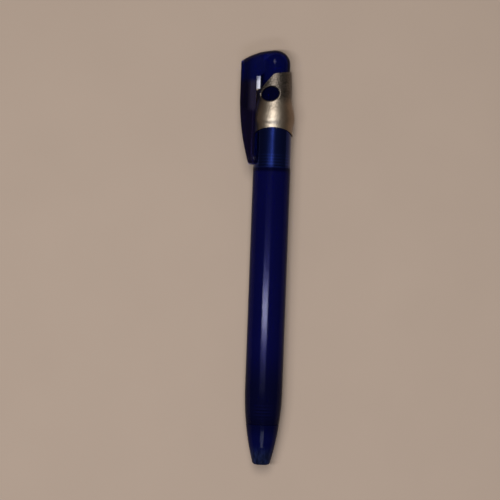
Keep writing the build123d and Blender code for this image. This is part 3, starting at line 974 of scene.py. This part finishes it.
class PEN_OT_nose(bpy.types.Operator):
    """Turn the polished nose with its threaded spigot"""

    bl_idname = "pen.nose"
    bl_label = "Nose"

    def execute(self, context):
        barrel = context.scene.pen_barrel
        nose = context.scene.pen_nose
        seam = barrel_low.y - NOSE_Y
        top = nose_high.y - NOSE_Y
        root = nose.spigot - nose.thread_depth
        outline = [(nose.tip_bore, TIP_CHAMFER), (nose.tip_bore + TIP_CHAMFER, 0.0)]
        centre = ogive_radius(nose.end_round, barrel, nose.end_radius) - nose.end_round
        for angle in spread(-math.pi / 2, 0.0, ROUND_STEPS):
            outline.append(
                (centre + nose.end_round * math.cos(angle), nose.end_round * (1 + math.sin(angle)))
            )
        for height in spread(nose.end_round, seam - barrel.seam, NOSE_STEPS)[1:]:
            outline.append((ogive_radius(height, barrel, nose.end_radius), height))
        outline += [
            (ogive_radius(seam, barrel, nose.end_radius) - barrel.seam, seam),
            (root, seam),
            (root, top - SPIGOT_CHAMFER),
            (root - SPIGOT_CHAMFER, top),
            (nose.pocket + POCKET_CHAMFER, top),
            (nose.pocket, top - POCKET_CHAMFER),
            (nose.pocket, nose.tip_length),
            (nose.tip_bore, nose.tip_length),
        ]
        material = polished_blue(nose)
        mesh = turned(outline, barrel.segments)
        low = seam + NOSE_THREAD_MARGIN
        high = top - NOSE_THREAD_MARGIN
        mesh.from_mesh(ridge(root, nose.thread_depth, nose.thread_pitch, low, high, material))
        add_piece("nose_shell", mesh, material, "barrel_body", "glossy_blue_plastic", "nose_cone")
        return {"FINISHED"}


class PEN_OT_collar(bpy.types.Operator):
    """Finish the satin collar and cut the thread on the guide sleeve's neck"""

    bl_idname = "pen.collar"
    bl_label = "Collar and guide sleeve"

    def execute(self, context):
        sleeve = context.scene.pen_sleeve
        material = satin_silver(context.scene.pen_collar)
        dress("collar", material)
        low = sleeve_low.y
        high = low + sleeve.neck_length
        root = sleeve.neck - sleeve.thread_depth
        mesh = bmesh.new()
        mesh.from_mesh(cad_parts["guide_sleeve"].data)
        bmesh.ops.remove_doubles(mesh, verts=mesh.verts, dist=MERGE_DISTANCE)
        for vertex in mesh.verts:
            across = Vector((vertex.co.x - AXIS_X, vertex.co.z - AXIS_Z))
            in_neck = low - HEIGHT_TOLERANCE < vertex.co.y < high + HEIGHT_TOLERANCE
            if in_neck and abs(across.length - sleeve.neck) < RADIUS_TOLERANCE:
                across *= root / across.length
                vertex.co.x = AXIS_X + across.x
                vertex.co.z = AXIS_Z + across.y
        start = low - NOSE_Y + SLEEVE_THREAD_START
        end = high - NOSE_Y - SLEEVE_THREAD_END
        mesh.from_mesh(ridge(root, sleeve.thread_depth, sleeve.thread_pitch, start, end, material))
        add_piece("guide_sleeve_threaded", mesh, material, "barrel_body", "satin_silver", "guide_sleeve")
        return {"FINISHED"}


class PEN_OT_clip_button(bpy.types.Operator):
    """Finish the clip button and the plunger and rotor that it pushes"""

    bl_idname = "pen.clip_button"
    bl_label = "Clip button"

    def execute(self, context):
        works = context.scene.pen_works
        dress("clip_button", clear_blue(context.scene.pen_clip))
        dress("plunger", moulded("dark_blue_plastic", works.plunger, roughness=0.35))
        dress("rotor", moulded("white_plastic", works.rotor, roughness=0.35))
        return {"FINISHED"}


class PEN_OT_refill(bpy.types.Operator):
    """Finish the refill and its point"""

    bl_idname = "pen.refill"
    bl_label = "Refill"

    def execute(self, context):
        works = context.scene.pen_works
        dress("refill_tube", moulded("natural_plastic", works.tube, roughness=0.3))
        dress("refill_ink", clear_fill("clear_ink", works.ink, roughness=0.05))
        dress("ink_follower", clear_fill("follower_grease", works.follower, roughness=0.2))
        dress("refill_tip", turned_metal("tip_metal", works.tip, roughness=0.18, line=0.08 * MM))
        dress("tip_ball", turned_metal("ball_metal", works.ball, roughness=0.08, line=0.2 * MM))
        return {"FINISHED"}


class PEN_OT_spring(bpy.types.Operator):
    """Wind the return spring"""

    bl_idname = "pen.spring"
    bl_label = "Return spring"

    def execute(self, context):
        spring = context.scene.pen_spring
        radius = (spring_high.z - spring_low.z) / 2 - spring.wire
        length = spring_high.y - spring_low.y
        material = turned_metal("spring_steel", spring.steel, roughness=0.22, line=0.05 * MM)
        mesh = wound(
            {
                "Radius": radius,
                "Pitch": (length - 2 * spring.wire) / spring.turns,
                "Turns": spring.turns,
                "Wire": spring.wire,
                "Sides": spring.sides,
                "Steps": spring.steps,
                "Start": (AXIS_X, spring_low.y + spring.wire, AXIS_Z),
                "Material": material,
            }
        )
        piece = add_piece("spring_coil", mesh, material, "barrel_body", "spring_steel", "return_spring")
        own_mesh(piece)
        return {"FINISHED"}


class PEN_OT_stage(bpy.types.Operator):
    """Lay the floor, light it and set the camera"""

    bl_idname = "pen.stage"
    bl_label = "Stage"

    def execute(self, context):
        stage = context.scene.pen_stage
        lay_floor(context, stage)
        light_pen(context, stage)
        set_camera(context, stage)
        return {"FINISHED"}


OPERATORS = (
    PEN_OT_barrel,
    PEN_OT_nose,
    PEN_OT_collar,
    PEN_OT_clip_button,
    PEN_OT_refill,
    PEN_OT_spring,
    PEN_OT_stage,
)


class PEN_PT_pieces(bpy.types.Panel):
    """Pieces of the pen"""

    bl_idname = "PEN_PT_pieces"
    bl_label = "Push-action pen"
    bl_space_type = "VIEW_3D"
    bl_region_type = "UI"
    bl_category = "Pen"

    def draw(self, context):
        for operator in OPERATORS:
            self.layout.operator(operator.bl_idname)


SETTINGS = {
    "pen_barrel": PenBarrelSettings,
    "pen_nose": PenNoseSettings,
    "pen_sleeve": PenSleeveSettings,
    "pen_collar": PenCollarSettings,
    "pen_clip": PenClipSettings,
    "pen_works": PenWorksSettings,
    "pen_spring": PenSpringSettings,
    "pen_stage": PenStageSettings,
}


def register():
    for settings in SETTINGS.values():
        bpy.utils.register_class(settings)
    for name, settings in SETTINGS.items():
        setattr(bpy.types.Scene, name, PointerProperty(type=settings))
    for operator in (*OPERATORS, PEN_PT_pieces):
        bpy.utils.register_class(operator)


def unregister():
    for operator in (PEN_PT_pieces, *reversed(OPERATORS)):
        bpy.utils.unregister_class(operator)
    for name, settings in SETTINGS.items():
        delattr(bpy.types.Scene, name)
        bpy.utils.unregister_class(settings)


def main():
    register()
    bpy.ops.pen.barrel()
    bpy.ops.pen.nose()
    bpy.ops.pen.collar()
    bpy.ops.pen.clip_button()
    bpy.ops.pen.refill()
    bpy.ops.pen.spring()
    bpy.ops.pen.stage()


if __name__ == "__main__":
    main()
